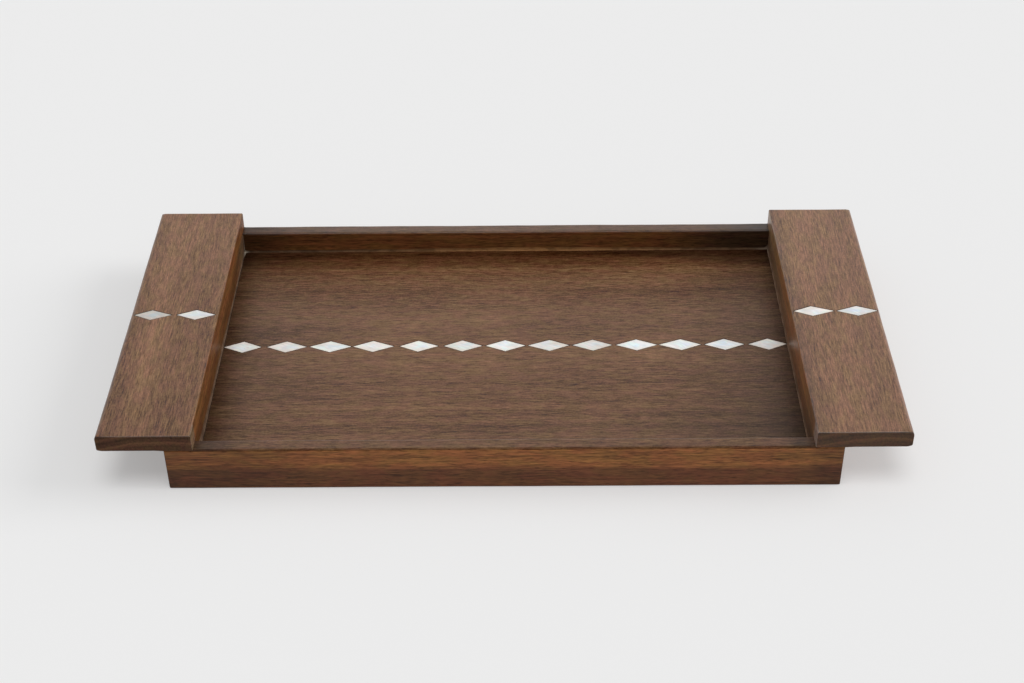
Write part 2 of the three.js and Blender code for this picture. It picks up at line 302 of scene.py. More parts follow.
# Each board's top and side lighten or darken its two kinds of face, painted light and shade for how
# each is lit, and its list holds painted shade, painted light and sheen, and old polish and dirt
WOOD = {
    "front_rail": dict(seed=3.1, top=0.7, side=0.92, dark_below=18.1, shades_and_dirt=(
        # On the top, darker towards the handles: painted shade where they shade it, with some dirt.
        # On the front, darker towards the ends
        ShadeAndDirt(X, -150, -186, 0.76, "up", dry=0.3),
        ShadeAndDirt(X, 162, 188, 0.6, "up", dry=0.15),
        ShadeAndDirt(Z, 29.7, 30.3, 0.46, "front", **SHADED_LIP),
        ShadeAndDirt(Y, -122.9, -123.8, 0.46, "up", **SHADED_LIP),
        ShadeAndDirt(X, -90, -165, 0.33, "front"),
        ShadeAndDirt(X, -196, -206, 0.14, "front"),
        ShadeAndDirt(X, 185, 199, 0.36, "front"))),
    "back_rail": dict(seed=5.8, top=0.54, side=0.6, veil=0.91, film=0.12, coat_ior=1.6, shades_and_dirt=(
        # Painted shade: the inner face and the top darker towards the corners, and the upper edges
        # darker where they turn from the top
        ShadeAndDirt(X, -140, -182, 0.72, "front", tint=(0.24, 0.27, 0.36)),
        ShadeAndDirt(X, 95, 165, 0.96, "front", tint=(0.26, 0.33, 0.56)),
        ShadeAndDirt(Z, 28.4, 29.2, 0.75, "front", **SHADED_LIP),
        ShadeAndDirt(Y, 117, 115, 1.0, "up", dry=0.35, tint=(0.92, 0.8, 0.7)),
        ShadeAndDirt(X, -140, -190, 0.72, "up", dry=0.36, tint=(0.28, 0.22, 0.2)),
        ShadeAndDirt(X, 110, 190, 0.78, "up"))),
    "left_end_rail": dict(seed=9.4, top=0.8, side=0.46, film=0.18, shades_and_dirt=(
        # Painted sheen: the inner face paler and greyer towards the back, for the reflected light it
        # shows there
        ShadeAndDirt(Y, 60, 112, 1.0, "right", tint=(1.0, 1.5, 2.4)),)),
    "right_end_rail": dict(seed=12.7, top=0.8, side=0.8, film=0.95, shades_and_dirt=(
        # Painted sheen: the inner face paler and greyer towards the back, for the reflected light it
        # shows there
        ShadeAndDirt(Y, -20, 100, 1.0, "left", tint=(1.04, 1.58, 2.6)),
        BROWN_FRONT)),
    "floor_panel": dict(seed=17.9, top=0.82, side=0.8, veil=0.83, shades_and_dirt=(
        # Painted shade: darker, and with less of the wax's sheen, towards each rail, which shades
        # the floor and hides bright reflections from it; some old finish has gathered there too
        ShadeAndDirt(X, -95, -178, 0.26, dry=0.12),
        ShadeAndDirt((1, 0.03, 0), -163, -195, 0.68, dry=0.68),
        ShadeAndDirt((1, -0.22, 0), 84, 176, 0.29, dry=0.15),
        ShadeAndDirt((1, -0.08, 0), 165, 195, 0.66, dry=0.28),
        ShadeAndDirt((-0.16, 1, 0), -60, -130, 0.34),
        ShadeAndDirt((-0.03, 1, 0), 76, 113, 0.76, dry=0.7, tint=(0.3, 0.19, 0.12)),
        ShadeAndDirt((0.15, 1, 0), 116, 126, 0.56, dry=0.25, tint=(0.3, 0.3, 0.4)),
        ShadeAndDirt((-0.25, 1, 0), 132, 148, 0.32, tint=(0.3, 0.42, 0.65)),
        ShadeAndDirt(Y, 20, 108, 0.0, dry=0.75))),
    "left_handle": dict(
        seed=25.3, top=1.0, side=0.66, film=0.18, skew=-0.5, waxed_edges=(-0.8, 1, 0), shades_and_dirt=(
            SHADED_TOP_FRONT,
            ShadeAndDirt(Y, 60, 115, 0.25, "right"),
            # Painted highlight on the front of the inner face, at the rounded upright corner that
            # catches the light
            ShadeAndDirt(Y, -112.5, -114.5, 1.0, "right", tint=(1.0, 1.52, 2.7)),
            ShadeAndDirt(Y, -120, -123, 1.0, "end", tint=(0.84, 0.95, 1.3)))),
    "right_handle": dict(
        seed=31.2, top=1.1, side=1.14, veil=0.97, film=0.8, coat_ior=1.6, skew=0.5,
        waxed_edges=(0.8, 1, 0), shades_and_dirt=(
            SHADED_TOP_FRONT,
            # Painted sheen: the inner face paler and greyer towards the back, for the reflected
            # light it shows there
            ShadeAndDirt(Y, 20, 100, 1.0, "left", tint=(1.03, 1.42, 2.1)),
            BROWN_FRONT,
            # Painted highlight on the front of the inner face, at the rounded upright corner, made
            # brighter as this face is turned from the window
            ShadeAndDirt(Y, -112.5, -114.5, 1.0, "left", tint=(1.35, 2.1, 4.3)),
            ShadeAndDirt(Y, -120, -123, 1.0, "end", tint=(0.42, 0.44, 0.45)),
            ShadeAndDirt(X, 200, 192, 0.1, "up"))),
}

LOG_STEP = (0.31, 0.173, 0.097)  # How far apart the pieces of log lie for each 1 of seed
PITH_ASIDE, PITH_BELOW = 0.012, 0.11  # From a board's middle line, and under the tray
BAND_WIDTH = 0.006
SQUARELY = 0.3, 0.9  # Cosines at which a face begins to look some way, and does so wholly


def walnut(node, box, seed, top, side, shades_and_dirt, dark_below=None, veil=0.9, film=0.26, coat_ior=1.5,
           skew=0.0, waxed_edges=None):
    """Oiled walnut for one board.

    The pattern is worked out in the board's own wood: growth bands round a distant pith, lines,
    fibres and open pores drawn out along the grain, and golden and russet clouds. Faces that look
    up get a duller, greyer brown and the sides a richer amber: painted light for how light falls
    on each kind of face. Faces that look up are rubbed with wax, under which dark streaks stay
    warm, and end grain is darker and shows the bands.
    box holds the board's corners, the grain runs off its longer side by skew degrees, and seed
    picks the piece of log. top and side set how light the two kinds of face are, painted light
    and shade for how each board's faces are lit.
    dark_below is the height in millimetres under which the sides are darker, less high towards
    its ends. veil and film are the weight of the wax on its top and its sides, and
    waxed_edges is the heading in which its upper edges hold as much.
    """
    graph = new_graph(f"walnut_{node}")
    here = graph.node("ShaderNodeTexCoord")
    spot, facing = here.out("Object"), here.out("Normal")
    low, high = box
    middle, half = (low + high) / 2, (high - low) / 2
    grain = 0 if half[0] > half[1] else 1
    log = graph.place(spot, turn=(0, 0, grain * math.radians(90 + skew)),
                      move=tuple(step * seed for step in LOG_STEP))
    sway = graph.noise(log, (0.09, 0.022, 0.022)).out("Color") - 0.5
    wood = log + sway * (0.0, 0.003, 0.003)

    # Growth bands: one-dimensional noise on the distance from the pith, which lies below the board
    _, across, deep = graph.parts(wood)
    across = across - LOG_STEP[1] * seed - middle[1 - grain] - PITH_ASIDE
    deep = deep - LOG_STEP[2] * seed + PITH_BELOW
    radius = (across * across + deep * deep) ** 0.5
    bands = graph.node("ShaderNodeTexNoise", {"noise_dimensions": "1D"}, {
        "W": radius / BAND_WIDTH, "Scale": 1.0, "Detail": 3.0, "Roughness": 0.6})
    lines = graph.noise(wood, (0.04, 0.0015, 0.0015))
    fibres = graph.noise(wood, (0.009, 0.00075, 0.00075), roughness=0.6)
    clouds = graph.noise(log, (0.016, 0.006, 0.006))
    broad = graph.noise(log, (0.11, 0.03, 0.03), detail=1)
    fleck = graph.noise(wood, (0.0055, 0.0006, 0.0006), detail=1)
    crowd = graph.noise(log, (0.03, 0.008, 0.008), detail=1)
    grit = graph.noise(log, (0.0014, 0.0009, 0.0009), detail=1)
    pores = graph.ramp(fleck + (crowd - 0.5) * 0.2, 0.53, 0.68)

    # Faces that look up, end grain, and arrises that hands have rubbed
    *level, rise = graph.parts(facing)
    up = graph.ramp(rise, *SQUARELY)
    end = graph.ramp(level[grain] * level[grain], 0.15, 0.5)
    x, y, z = graph.parts(graph.size(spot - tuple(middle)) - tuple(half))
    arris = x.minimum(y).maximum(x.maximum(y).minimum(z))
    wear = graph.ramp(arris + (crowd - 0.5) * 0.003, -0.0016, 0.0002)

    # Painted light: a duller, greyer brown on faces that look up and a richer amber on the sides,
    # each lightened or darkened for how that board's faces are lit
    ground = graph.blend(up, shade("side_wood", side), shade("top_wood", top))
    tint = graph.blend(graph.ramp(clouds, 0.36, 0.64), shade("golden_cloud"), shade("russet_cloud"))
    depth = graph.blend(up, (1.0, 1.0, 1.0), (1.15, 1.45, 1.9))
    tone = ((fibres - 0.5) * (1.8 + up * 0.3 - end * 1.0) + (lines - 0.5) * (1.2 - up * 0.5)
            + (grit - 0.5) * up * 0.9 + (bands - 0.5) * (0.8 + end * 1.8) + (broad - 0.5) * 0.5)
    body = (ground * tint * (1.0 + tone * depth).maximum(0.05)
            * (1.0 - (pores * (0.38 - end * 0.28)) * depth))
    # Darker on the sides below a wavering height, which is lower towards the ends
    if dark_below:
        along, _, height = graph.parts(spot)
        uneven = height + along * along * 0.045 + (broad - 0.5) * 0.01 + (lines - 0.5) * 0.005
        darker_low = 1.0 - graph.ramp(uneven, (dark_below - 3.0) * MM, (dark_below + 3.5) * MM)
        body = graph.blend(darker_low * (1.0 - up), body, body * (0.5, 0.47, 0.6))
    wax = up * (veil + (clouds - 0.5) * 0.4) + (1.0 - up) * (1.0 - end * 0.6) * film
    lies_on = {"all": 1.0, "up": up, "end": end}
    # Painted shade, painted light and sheen, and old polish and dirt, each on its own faces
    for patch in shades_and_dirt:
        start, full = patch.start * MM, patch.full * MM
        along = graph.dot(spot, patch.direction) + (clouds - 0.5) * 0.2 * abs(full - start)
        if patch.faces in LOOKING:
            there = graph.ramp(graph.dot(facing, LOOKING[patch.faces]), *SQUARELY)
        else:
            there = lies_on[patch.faces]
        share = graph.ramp(along, start, full) * there
        body = graph.blend(share * patch.amount, body, body * patch.tint)
        if patch.dry:
            wax = wax * (1.0 - share * patch.dry)
    body = graph.blend(end, body, body * (0.5, 0.52, 0.6))
    body = graph.blend(wear * 0.12, body, body * 1.5)
    if waxed_edges:
        turned = graph.ramp(graph.dot(facing, waxed_edges), 0.1, 0.6)
        wax = wax.maximum(turned * graph.ramp(rise, 0.02, 0.25) * 0.9)

    roughness = 0.52 + pores * 0.12 + (lines - 0.5) * 0.2
    return graph.surface(body, roughness, fibres * 0.4 + lines * 0.2 - pores * 0.9, 0.3, 0.0001, {
        "IOR": 1.45, "Specular IOR Level": 0.05, "Coat Weight": wax, "Coat Roughness": 0.36,
        "Coat IOR": coat_ior})


# The other finishes

def nacre():
    """Polished mother-of-pearl: pale growth lines, faint pink, green and blue lights, murky clouds
    and a creamy rim. Each diamond carries its own brightness, partly its own tone and partly a
    painted reflection for how its shell catches the light, its own cool cast and its own drift,
    in the attributes light, cast and drift, and across is the place on it, 1 at its points."""
    graph = new_graph("polished_nacre")
    shell = graph.node("ShaderNodeTexCoord").out("Object") + graph.attribute("drift", "Vector")
    sway = graph.noise(shell, (0.012,) * 3).out("Color") - 0.5
    shell = shell + sway * 0.006
    lines = graph.noise(graph.place(shell, turn=(0, 0, 0.5)), (0.011, 0.0016, 0.004), detail=3)
    clouds = graph.noise(shell, (0.009, 0.005, 0.006))
    lights = graph.noise(shell, (0.01, 0.006, 0.008), detail=1)
    murk = graph.noise(shell, (0.016, 0.008, 0.008))
    hue = graph.node("ShaderNodeValToRGB", {"stops": [
        (0.3, (0.76, 0.88, 0.94)), (0.42, (0.94, 0.93, 0.93)), (0.5, (0.98, 0.87, 0.85)),
        (0.58, (0.86, 0.97, 0.9)), (0.7, (0.83, 0.86, 0.98))]}, {"Fac": lights})
    body = graph.blend(0.85, shade("pearl"), hue * shade("pearl") * 1.03)
    body = graph.blend(graph.ramp(lines, 0.4, 0.62) * 0.34, body, (0.52, 0.52, 0.53))
    body = graph.blend(graph.ramp(clouds, 0.46, 0.68) * 0.42, body, (0.58, 0.58, 0.6))
    body = graph.blend(graph.ramp(murk, 0.52, 0.7) * 0.45, body, (0.56, 0.5, 0.44))
    body = body * (1.0 + graph.attribute("cast") * (-0.07, 0.0, 0.06))
    x, y, _ = graph.parts(graph.size(graph.attribute("across", "Vector")))
    span = x + y
    body = body * graph.blend(
        graph.ramp(span, 0.0, 0.75), (0.985, 1.01, 1.04), (1.02, 0.985, 0.95))
    body = graph.blend(graph.ramp(span, 0.68, 1.0) * 0.5, body, (0.7, 0.6, 0.49))
    # Each diamond's own brightness: partly its tone, partly a painted reflection of how it catches
    # the light
    body = body * graph.attribute("light")
    return graph.surface(body, 0.22 + clouds * 0.16, lines, 0.15, 0.0001, {
        "Coat Weight": 0.5, "Coat Roughness": 0.12})


def dark_glue():
    """Dark glue rubbed level with the wood: nearly black, with small dull pits."""
    graph = new_graph("dark_glue_line")
    here = graph.node("ShaderNodeTexCoord").out("Object")
    pits = graph.noise(here, (0.0012,) * 3, detail=3)
    body = graph.blend(pits, shade("glue"), shade("glue", 2.2))
    return graph.surface(body, 0.45 + pits * 0.3, pits, 0.3, 0.00005, {})


def dried_bead():
    """Glue and finish dried in the angle round the floor: a dull film, palest in one corner. The
    attribute fraction says how far up the bead a point lies, full how much has gathered there, foot
    how far painted shade darkens the bead in the crease where it meets the floor, and stain its
    colour: what it has drawn in along the back, with painted shade towards the back's ends and
    painted light by the right rail."""
    graph = new_graph("dried_finish_bead")
    here = graph.node("ShaderNodeTexCoord").out("Object")
    fraction, full, foot = (graph.attribute(name) for name in ("fraction", "full", "foot"))
    lumps = graph.noise(here, (0.009, 0.009, 0.006), detail=3)
    specks = graph.noise(here, (0.0012,) * 3)
    body = graph.blend(graph.ramp(lumps, 0.34, 0.6), shade("bead", 0.6), shade("bead"))
    body = graph.blend(graph.ramp(specks, 0.55, 0.7) * 0.4, body, shade("bead", 0.7))
    # Painted shade at the foot, in the crease where the bead meets the floor
    foot = foot * (1.0 - graph.ramp(fraction + (lumps - 0.5) * 0.2, 0.1, 0.24)) * (1.0 - full)
    body = graph.blend(foot, body, shade("bead", 0.18)) * graph.attribute("stain", "Vector")
    body = graph.blend(full, body, (0.34, 0.3, 0.24))
    return graph.surface(
        body, 0.6 + specks * 0.25, lumps, 0.4, 0.0002, {"Specular IOR Level": 0.03})


def bare_beech():
    """Beech straight from the dowel plate: pale, fine grained along the pin, with short flecks."""
    graph = new_graph("bare_beech")
    here = graph.node("ShaderNodeTexCoord").out("Object")
    grain = graph.noise(here, (0.0008, 0.0008, 0.012), detail=3)
    flecks = graph.ramp(graph.noise(here, (0.0004, 0.0004, 0.0025), detail=1), 0.6, 0.72)
    body = graph.blend(grain, shade("beech", 0.72), shade("beech", 1.18))
    body = graph.blend(flecks * 0.5, body, (0.3, 0.16, 0.07))
    return graph.surface(body, 0.62 + flecks * 0.15, grain, 0.3, 0.0001, {})


# Shapes

def wander(x, y, amount):
    """1 and a little more or less: three sine waves along the edge, of unrelated lengths."""
    wave = (np.sin(41 * x + 23 * y) + 0.6 * np.sin(97 * x - 71 * y + 1.3)
            + 0.4 * np.sin(211 * (x + y) + 2.1))
    return 1 + amount * wave / 2


def rounded_outline(low, high, corners, step, arc_steps=6):
    """The outline of a board seen from above, as a function of a draw-in.

    It runs anticlockwise from the lower left corner. At each corner the radius is what is left of
    the given one after the draw-in, and the straight runs are cut into equal steps. The function
    takes one draw-in for each point, or one for all.
    """
    low, high = np.array(low[:2]), np.array(high[:2])
    middle, half = (low + high) / 2, (high - low) / 2
    signs = np.array([[-1, -1], [1, -1], [1, 1], [-1, 1]])
    turns = np.radians([180, 270, 0, 90])
    spans = np.tile(2 * half, 2)
    arc = np.linspace(0, np.pi / 2, arc_steps + 1)
    corner, bearing, along = [], [], []
    for index in range(4):
        count = max(1, int(round(spans[index] / step)))
        run = np.arange(1, count) / count
        corner.append(np.full(len(arc) + len(run), index))
        bearing.append(turns[index] + np.append(arc, np.full(len(run), np.pi / 2)))
        along.append(np.append(np.zeros(len(arc)), run))
    corner, bearing, along = map(np.concatenate, (corner, bearing, along))
    following = (corner + 1) % 4
    radii = np.array(corners, float)
    outward = np.stack([np.cos(bearing), np.sin(bearing)], -1)

    def corner_point(which, draw_in):
        left_over = np.maximum(radii[which] - draw_in, 0)[..., None]
        inset = np.maximum(radii[which], draw_in)[..., None]
        return signs[which] * (half - inset) + left_over * outward

    def drawn_in(draw_in):
        here, there = corner_point(corner, draw_in), corner_point(following, draw_in)
        return middle + here + (there - here) * along[:, None]

    return drawn_in


def rhombus_outline(centre, long, short, drift):
    """The outline of a diamond as a function of a draw-in, from its left point anticlockwise.

    All four points move towards the middle by the same share of their distance, which draws the
    sides in evenly. Drawn outwards, as for a pocket, the long points are cut off square at the
    draw-in's own distance. long and short are half its length and width, and drift moves the two
    short points sideways.
    """
    reach = long * short / np.hypot(long, short)
    side = np.array([-1, 0, 1, 1, 0, -1])
    up = np.array([-1, -1, -1, 1, 1, 1])

    def drawn_in(draw_in):
        share = 1 - draw_in / reach
        end = np.minimum(share * long, long - draw_in)
        blunt = (share * long - end) / (share * (long - side * drift))
        x = np.where(side == 0, share * drift, side * end)
        y = up * share * short * np.where(side == 0, 1, blunt)
        return np.array(centre) + np.stack([x, y], -1)

    return drawn_in


def edge_profile(low_radius, top_radius, bottom, top, support, steps=7):
    """The edge of a board from its lower face to its upper one, as draw-ins and heights: a quarter
    round, a straight side and a quarter round, with a narrow flat beside each, as wide as support,
    to hold the shading."""
    turn = np.linspace(0, np.pi / 2, steps + 1)[:, None]
    low = [low_radius * (1 - np.sin(turn)), bottom + low_radius * (1 - np.cos(turn))]
    high = [top_radius * (1 - np.cos(turn)), top - top_radius * (1 - np.sin(turn))]
    flat = np.zeros_like(low_radius)[None]
    draw_in = [low_radius[None] + support, low[0], flat, flat, high[0], top_radius[None] + support]
    height = [flat + bottom, low[1], bottom + low_radius[None] + support,
              top - top_radius[None] - support, high[1], flat + top]
    return np.concatenate(draw_in), np.concatenate(height)


def skin(rings, caps=True, closed_rings=False):
    """Points, face corners and face sizes of a grid of rings, shape (rings, points, 3), which run
    anticlockwise seen from above and go upwards. The first and last ring get flat faces, or the
    rings join up."""
    count, points = rings.shape[:2]
    index = np.arange(count * points).reshape(count, points)
    if closed_rings:
        index = np.concatenate([index, index[:1]])
    following = np.roll(index, -1, axis=1)
    quads = np.stack([index[:-1], following[:-1], following[1:], index[1:]], -1).reshape(-1)
    corners, sizes = [quads], [np.full(len(quads) // 4, 4)]
    if caps:
        corners += [index[0, ::-1], index[-1]]
        sizes.append(np.full(2, points))
    return rings.reshape(-1, 3), np.concatenate(corners), np.concatenate(sizes)


def stacked(outline, draw_in, height):
    """Rings of an outline drawn in by draw_in at height, one ring for each row of both."""
    plan = outline(draw_in)
    return np.concatenate([plan, np.broadcast_to(height, plan.shape[:-1])[..., None]], -1)


def new_mesh(name, shapes):
    """One mesh from several skins, with points that coincide welded."""
    points, corners, face_sizes = zip(*shapes)
    starts = np.cumsum([0] + [len(some) for some in points[:-1]])
    corners = np.concatenate([some + start for some, start in zip(corners, starts)])
    points, face_sizes = np.concatenate(points), np.concatenate(face_sizes)
    mesh = bpy.data.meshes.new(name)
    mesh.vertices.add(len(points))
    mesh.vertices.foreach_set("co", points.astype(np.float32).ravel())
    mesh.loops.add(len(corners))
    mesh.loops.foreach_set("vertex_index", corners.astype(np.int32))
    mesh.polygons.add(len(face_sizes))
    mesh.polygons.foreach_set("loop_start", np.cumsum(face_sizes) - face_sizes)
    mesh.update(calc_edges=True)
    weld(mesh)
    return mesh


def weld(mesh, reach=1e-6):
    work = bmesh.new()
    work.from_mesh(mesh)
    bmesh.ops.remove_doubles(work, verts=work.verts, dist=reach)
    bmesh.ops.dissolve_degenerate(work, edges=work.edges, dist=reach)
    work.to_mesh(mesh)
    work.free()


def prism(outline, bottom, top, draw_in=0.0):
    """A straight upright form: its outline, drawn in by one distance, at two heights."""
    return skin(stacked(outline, np.full((2, 1), draw_in), np.array([[bottom], [top]])))


def block(low, high):
    """A plain cutter between two corners."""
    return prism(rounded_outline(low, high, (0, 0, 0, 0), 1.0, arc_steps=1), low[2], high[2])


def pin(low, high):
    """A round upright cutter, as wide as the space between two corners is along X."""
    radius, middle = (high[0] - low[0]) / 2, (low + high) / 2
    outline = rounded_outline(middle - radius, middle + radius, (radius,) * 4, 1.0, arc_steps=8)
    return prism(outline, low[2], high[2])


def add_piece(name, shapes, material, slot, *nodes):
    """Makes the finished piece: shaded smoothly up to its sharp edges, on the tray's body, in the
    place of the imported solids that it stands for."""
    piece = put(name, new_mesh(name, shapes))
    piece.data.materials.append(material)
    settle_shading(piece.data)
    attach(piece, BODY)
    if nodes:
        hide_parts(*nodes)
    return piece


def add_board(node, box, corners, low_radius, top_radius, slot, step=2 * MM):
    """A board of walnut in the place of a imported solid: a surface of two parameters, the way round
    its outline and the way up its edge. corners holds the radii of its four upright corners;
    low_radius and top_radius give those of its lower and upper edge as functions of x and y."""
    low, high = box
    outline = rounded_outline(low, high, corners, step)
    x, y = outline(0.0).T
    uneven = wander(x, y, bpy.context.scene.tray_sizes.unevenness)
    draw_in, height = edge_profile(low_radius(x, y) * uneven, top_radius(x, y) * uneven,
                                   low[2], high[2], support=0.35 * MM)
    name = node.removesuffix("_panel") + "_board"
    board = skin(stacked(outline, draw_in, height))
    return add_piece(name, [board], walnut(node, box, **WOOD[node]), slot, node)


def settle_shading(mesh, sharp=math.radians(35)):
    mesh.shade_smooth()
    mesh.set_sharp_from_angle(angle=sharp)


def put(name, data):
    """A new object in the scene."""
    made = bpy.data.objects.new(name, data)
    bpy.context.scene.collection.objects.link(made)
    return made


def shape_with(piece, tools, operation="DIFFERENCE"):
    """Cuts the tools out of the piece, or joins them to it, and keeps the result as its mesh."""
    tool = put("tool", new_mesh("tool", tools))
    modifier = piece.modifiers.new("shape", "BOOLEAN")
    modifier.operation, modifier.object, modifier.solver = operation, tool, "EXACT"
    seen = piece.evaluated_get(bpy.context.evaluated_depsgraph_get())
    made = bpy.data.meshes.new_from_object(seen)
    piece.modifiers.clear()
    old, piece.data = piece.data, made
    made.name = piece.name
    bpy.data.meshes.remove(old)
    bpy.data.meshes.remove(tool.data)
    if not made.polygons:
        raise RuntimeError(f"{piece.name} has no faces left")
    settle_shading(made)


def constant(radius):
    return lambda x, y: np.full_like(x, radius)


def corners_of(node):
    """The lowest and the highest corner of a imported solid."""
    return [np.array(corner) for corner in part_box(node)]


def well():
    """The lowest and the highest corner of the well between the rails, seen from above."""
    return (np.array([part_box("left_end_rail")[1][0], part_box("front_rail")[1][1]]),
            np.array([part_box("right_end_rail")[0][0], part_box("back_rail")[0][1]]))


# The joints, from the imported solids' own boxes

def tongue_slab(by):
    low, high = corners_of("floor_panel")
    high[2] = low[2] + bpy.context.scene.tray_sizes.tongue
    return block(low - by, high + by)


def tenon_bar(node, by):
    sizes = bpy.context.scene.tray_sizes
    low, high = corners_of(node)
    middle = (low[0] + high[0]) / 2
    low[0], high[0] = middle - sizes.tenon / 2, middle + sizes.tenon / 2
    low[2], high[2] = low[2] + sizes.tenon_shoulder, high[2] - sizes.tenon_shoulder
    return block(low - by, high + by)


def dowel_holes(side):
    by = bpy.context.scene.tray_sizes.glue_gap
    names = sorted(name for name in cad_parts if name.startswith(f"{side}_handle_dowel"))
    return [pin(low - by, high + by) for low, high in map(corners_of, names)]


# The diamonds, from the imported inlay's own boxes. Each is cut by hand: its two short points lie a
# little to one side, by so many tenths of a millimetre, and each piece of shell has its own
# brightness, partly its tone and partly a painted reflection, and its own cast, warm below 0 and
# cool above it.

DIAMONDS = {
    "left_handle_inlay": ((-12, 0.7, -0.6), (-2, 1.05, 0.1)),
    "right_handle_inlay": ((-14, 1.18, 0.2), (1, 1.1, 0.6)),
    "floor_inlay": (
        (3, 1.02, 0.0), (-6, 1.02, -0.1), (-2, 1.12, 0.4), (-3, 1.14, -0.1), (-7, 1.22, 0.2),
        (-4, 1.06, 0.0), (-2, 1.24, 0.4), (8, 1.08, -0.1), (3, 1.02, 0.0), (0, 1.22, 0.8),
        (7, 1.24, 0.3), (1, 1.22, 1.0), (4, 1.15, 0.1)),
}
SHELL_STEP = np.array([0.037, 0.021, 0.013])  # How far apart a row's pieces of shell lie


def diamonds(stem):
    """For each diamond of a row: its node, its outline and its box."""
    for index, (drift, _, _) in enumerate(DIAMONDS[stem]):
        node = f"{stem}_{index + 1}"
        low, high = corners_of(node)
        middle, half = (low + high) / 2, (high - low) / 2
        yield node, rhombus_outline(middle[:2], *half[:2], drift * MM / 10), low, high


def pockets(stem, overrun=1 * MM):
    sizes = bpy.context.scene.tray_sizes
    return [prism(outline, low[2] - sizes.glue_gap, high[2] + overrun, -sizes.glue_line)
            for _, outline, low, high in diamonds(stem)]


def mark(piece, name, values):
    """Gives each point of the piece a value or a vector that its material reads."""
    kind, field = ("FLOAT", "value") if values.ndim == 1 else ("FLOAT_VECTOR", "vector")
    marks = piece.data.attributes.new(name, kind, "POINT")
    marks.data.foreach_set(field, values.astype(np.float32).ravel())


def points_of(piece):
    points = np.zeros(3 * len(piece.data.vertices), np.float32)
    piece.data.vertices.foreach_get("co", points)
    return points.reshape(-1, 3)


def lay_inlay(stem, material, glue):
    """Lays a row of pearl diamonds and, in the play round them, dark glue."""
    sizes = bpy.context.scene.tray_sizes
    beds = []
    for index, (node, outline, low, high) in enumerate(diamonds(stem)):
        draw_in, height = edge_profile(np.zeros(6), np.full(6, sizes.pearl_ease), low[2], high[2],
                                       support=0.05 * MM, steps=4)
        piece = add_piece(f"pearl_{node}", [skin(stacked(outline, draw_in, height))], material,
                          "pearl_inlay", node)
        points = points_of(piece)
        ones = np.ones(len(points))
        _, light, cast = DIAMONDS[stem][index]
        # light: each diamond's brightness, partly its tone and partly a painted reflection
        mark(piece, "light", light * ones)
        mark(piece, "cast", cast * ones)
        mark(piece, "drift", ones[:, None] * (index * SHELL_STEP + (0, 0, 0.1 * len(stem))))
        mark(piece, "across", (points - (low + high) / 2) / ((high - low) / 2) * (1, 1, 0))
        # A ring of glue between the diamond and its pocket, a little clear of both
        clear = 0.02 * MM
        inner, outer = -clear, clear - sizes.glue_line
        floor, level = low[2], high[2] - sizes.glue_depth
        draw_in = np.array([inner, inner, outer, outer])[:, None]
        height = np.array([floor, level, level, floor])[:, None]
        beds.append(skin(stacked(outline, draw_in, height), caps=False, closed_rings=True))
    add_piece(f"glue_{stem}", beds, glue, "pearl_inlay")


def near(distance, width):
    """1 at no distance, less further off: e to the minus square of the distance over the width."""
    return np.exp(-(distance / width) ** 2)


def heading(turn, climb):
    """The direction turned by one angle from the back to the right, and lifted by another."""
    return Vector((math.sin(turn) * math.cos(climb), math.cos(turn) * math.cos(climb),
                   math.sin(climb)))


# Operators, one for each piece or group of like pieces

class MakeRails(bpy.types.Operator):
    """Makes the four rails, with the floor's groove, the mortices, tenons and dowel holes"""
    bl_idname = "tray.make_rails"
    bl_label = "Make the rails"

    def execute(self, context):
        sizes = context.scene.tray_sizes
        gap, ease = sizes.glue_gap, sizes.rail_ease
        low, high = well()
        fade = 3 * MM

        def between_handles(x, y):
            """The lip's full ease between the handle boards, and none under them."""
            inside = np.minimum(x - low[0], high[0] - x)
            return sizes.lip_ease * np.clip(inside / fade + 1, 0, 1)

        mortices = [tenon_bar(f"{side}_end_rail", gap) for side in SIDES]
        plans = {"front_rail": (ease, ease, 0, 0), "back_rail": (0, 0, ease, ease)}
        for node, corners in plans.items():
            piece = add_board(
                node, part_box(node), corners, constant(ease), between_handles, "walnut_rail")
            shape_with(piece, [tongue_slab(gap), *mortices])
        for side in SIDES:
            node = f"{side}_end_rail"
            box = [Vector((corner[0], shoulder, corner[2]))
                   for corner, (_, shoulder) in zip(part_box(node), (low, high))]
            piece = add_board(
                node, box, (0, 0, 0, 0), constant(ease), constant(0.0), "walnut_rail")
            shape_with(piece, [tenon_bar(node, 0)], "UNION")
            shape_with(piece, [tongue_slab(gap), *dowel_holes(side)])
        return {"FINISHED"}


class MakeFloor(bpy.types.Operator):
    """Makes the floor board with its tongue and the pockets of its thirteen diamonds"""
    bl_idname = "tray.make_floor"
    bl_label = "Make the floor"

    def execute(self, context):
        sizes = context.scene.tray_sizes
        low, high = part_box("floor_panel")
        edge = sizes.let_in + sizes.glue_gap
        edge = Vector((edge, edge, 0))
        piece = add_board("floor_panel", (low + edge, high - edge), (0, 0, 0, 0), constant(0.0),
                          constant(sizes.floor_ease), "walnut_floor")
        shape_with(piece, [tongue_slab(0)], "UNION")
        shape_with(piece, pockets("floor_inlay"))
        return {"FINISHED"}


